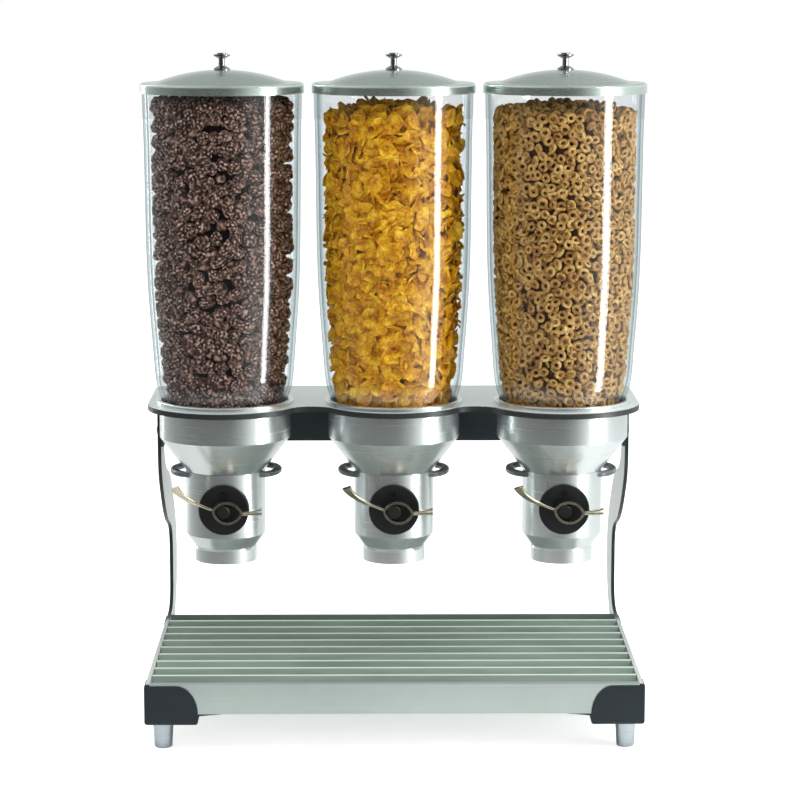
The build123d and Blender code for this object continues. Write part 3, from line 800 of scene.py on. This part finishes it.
def set_world():
    """White behind the object for every ray that shows it, and a dimmer room in front for reflections."""
    world = bpy.data.worlds.new("studio")
    bpy.context.scene.world = world
    world.use_nodes = True
    tree = world.node_tree
    tree.nodes.clear()
    out = tree.nodes.new("ShaderNodeOutputWorld")
    white = add(tree, "ShaderNodeBackground", Strength=1.0)
    white.inputs["Color"].default_value = (1, 1, 1, 1)
    room = add(tree, "ShaderNodeBackground", Strength=1.0)
    coords = tree.nodes.new("ShaderNodeTexCoord")
    around, parts = room_view(tree, coords.outputs["Generated"], ROOM)
    above, _ = room_view(tree, coords.outputs["Generated"], ROOM_ABOVE)
    height = spread(tree, parts.outputs["Z"], 0.0, 1.0, 0.12, 0.4)
    tree.links.new(blend(tree, height, around, above), room.inputs["Color"])
    path = tree.nodes.new("ShaderNodeLightPath")
    seen = tree.nodes.new("ShaderNodeMath")
    seen.operation = "MAXIMUM"
    tree.links.new(path.outputs["Is Camera Ray"], seen.inputs[0])
    tree.links.new(path.outputs["Is Transmission Ray"], seen.inputs[1])
    mix = tree.nodes.new("ShaderNodeMixShader")
    tree.links.new(seen.outputs[0], mix.inputs["Fac"])
    tree.links.new(room.outputs[0], mix.inputs[1])
    tree.links.new(white.outputs[0], mix.inputs[2])
    tree.links.new(mix.outputs[0], out.inputs["Surface"])


def set_floor():
    """A pale floor that shows white to the camera, less the object's shadow; to glossy rays its far parts
    are painted with the room's brightness by direction, dark in front and light behind.
    """
    mesh = bpy.data.meshes.new("floor")
    reach = 12.0
    corners = [(-reach, -reach, 0), (reach, -reach, 0), (reach, reach, 0), (-reach, reach, 0)]
    mesh.from_pydata(corners, [], [(0, 1, 2, 3)])
    floor = bpy.data.objects.new("floor", mesh)
    bpy.context.scene.collection.objects.link(floor)
    mat, tree, shader = mat_new("floor_white")
    cloud = grain(tree, place_coords(tree, (2.0, 2.0, 2.0)), 1.0, 3.0)
    pale = ramp(tree, cloud, [(0.3, (0.86, 0.86, 0.86)), (0.7, (0.88, 0.88, 0.88))])
    geometry = tree.nodes.new("ShaderNodeNewGeometry")
    # Painted shade and light: glossy rays see the far floor coloured by the room's brightness round the
    # object.
    painted_room_shade, _ = room_view(tree, geometry.outputs["Position"], ROOM)
    length = tree.nodes.new("ShaderNodeVectorMath")
    length.operation = "LENGTH"
    tree.links.new(geometry.outputs["Position"], length.inputs[0])
    far = spread(tree, length.outputs["Value"], 0.0, 1.0, 0.4, 1.0)
    path = tree.nodes.new("ShaderNodeLightPath")
    seen = tree.nodes.new("ShaderNodeMath")
    seen.operation = "MULTIPLY"
    tree.links.new(path.outputs["Is Glossy Ray"], seen.inputs[0])
    tree.links.new(far, seen.inputs[1])
    tree.links.new(blend(tree, seen.outputs[0], pale, painted_room_shade), shader.inputs["Base Color"])
    shader.inputs["Roughness"].default_value = 0.9
    shader.inputs["Specular IOR Level"].default_value = 0.0
    shader.inputs["Emission Color"].default_value = (1, 1, 1, 1)
    glow = tree.nodes.new("ShaderNodeMath")
    glow.operation = "MULTIPLY"
    glow.inputs[1].default_value = 0.68
    shown = tree.nodes.new("ShaderNodeMath")
    shown.operation = "MAXIMUM"
    tree.links.new(path.outputs["Is Camera Ray"], shown.inputs[0])
    tree.links.new(path.outputs["Is Transmission Ray"], shown.inputs[1])
    tree.links.new(shown.outputs[0], glow.inputs[0])
    tree.links.new(glow.outputs[0], shader.inputs["Emission Strength"])
    mesh.materials.append(mat)


bpy.context.scene.view_settings.view_transform = "Standard"
paint_stand()
paint_dispensers()
fill_clusters()
fill_flakes()
fill_rings()
set_camera()
set_lights()
set_world()
set_floor()
